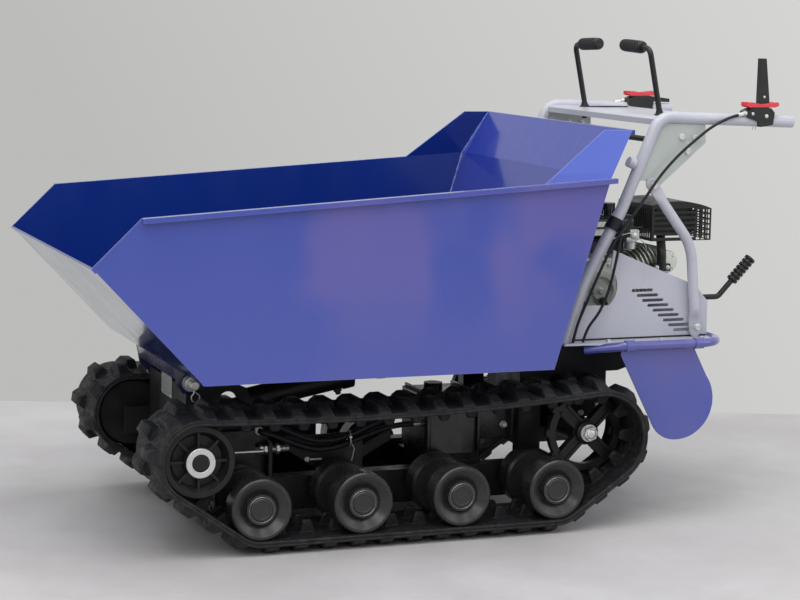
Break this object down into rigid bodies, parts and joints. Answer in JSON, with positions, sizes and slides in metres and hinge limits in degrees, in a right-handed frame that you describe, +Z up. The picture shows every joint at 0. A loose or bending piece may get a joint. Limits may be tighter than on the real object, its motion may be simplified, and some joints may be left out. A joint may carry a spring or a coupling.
{
  "type": "tracked mini dumper",
  "caption": "Walk-behind tracked site dumper: rubber tracks, open engine on a rear deck, handlebars with levers and a blue hydraulic tipping skip hinged at the front.",
  "frame": {"origin": "on the ground, under the middle of the bounding box", "axes": "+X forward, from the handles to the skip's lip; +Y to the machine's left; +Z up"},
  "size_m": [1.5462, 0.804, 1.0088],
  "materials": {
    "blue_paint": "glossy, slightly orange-peeled powder coat",
    "dark_blue_paint": "glossy powder coat",
    "black_paint": "semi-gloss powder coat",
    "grey_paint": "satin powder coat",
    "track_rubber": "matte, dusty",
    "grip_rubber": "matte",
    "hose_rubber": "satin",
    "zinc": "zinc plated",
    "polished_rod": "polished",
    "cast_alloy": "as cast",
    "black_steel": "heat-proof matte black",
    "red_plastic": "moulded",
    "plate_silver": "blank brushed plate",
    "tank_black": "gloss"
  },
  "bodies": {
    "chassis": {"front_tower": "black_paint", "data_plate": "plate_silver", "hinge_pins": "zinc", "chassis": "black_paint", "deck_plate": "grey_paint", "bumper_rail": "blue_paint", "mudguards": "blue_paint", "track_left": "track_rubber", "track_right": "track_rubber", "rollers": "black_paint", "idlers": "black_paint", "sprockets": "black_paint", "idler_forks": "black_paint", "tensioners": "zinc", "drive_axle": "black_paint", "hydraulic_tank": "tank_black", "engine_block": "cast_alloy", "recoil_starter": "black_steel", "fuel_tank": "tank_black", "air_filter": "black_steel", "muffler": "black_steel", "muffler_cage": "black_steel", "side_guards": "grey_paint", "rear_guard": "grey_paint", "handle_tubes": "grey_paint", "console": "grey_paint", "struts": "grey_paint", "gussets": "grey_paint", "tall_levers": "black_steel", "clutch_levers": "black_steel", "gear_lever": "black_steel", "cross_rod": "black_paint", "lever_locks": "red_plastic", "cables": "hose_rubber", "hoses": "hose_rubber"},
    "skip": {"skip": "blue_paint", "hinge_bracket": "dark_blue_paint", "skip_underframe": "dark_blue_paint"},
    "cylinder_barrel": {"cylinder_barrel": "black_paint"},
    "cylinder_rod": {"cylinder_rod": "polished_rod"}
  },
  "joints": [
    {"name": "skip_tip", "type": "hinge", "parent": "chassis", "child": "skip", "pos_m": [0.518, 0, 0.314], "axis": [0, 1, 0], "range_deg": [0, 60]},
    {"name": "cylinder_swing", "type": "hinge", "parent": "chassis", "child": "cylinder_barrel", "pos_m": [0.4, 0, 0.235], "axis": [0, 1, 0], "range_deg": [0, 65]},
    {"name": "rod_slide", "type": "slide", "parent": "cylinder_barrel", "child": "cylinder_rod", "axis": [-0.9822, 0, 0.1878], "range_m": [0, 0.1394]}
  ],
  "couplings": [
    {"joint": "cylinder_swing", "follows": "skip_tip", "ratio": 1.0743},
    {"joint": "rod_slide", "follows": "skip_tip", "m_per_rad": 0.13215}
  ]
}
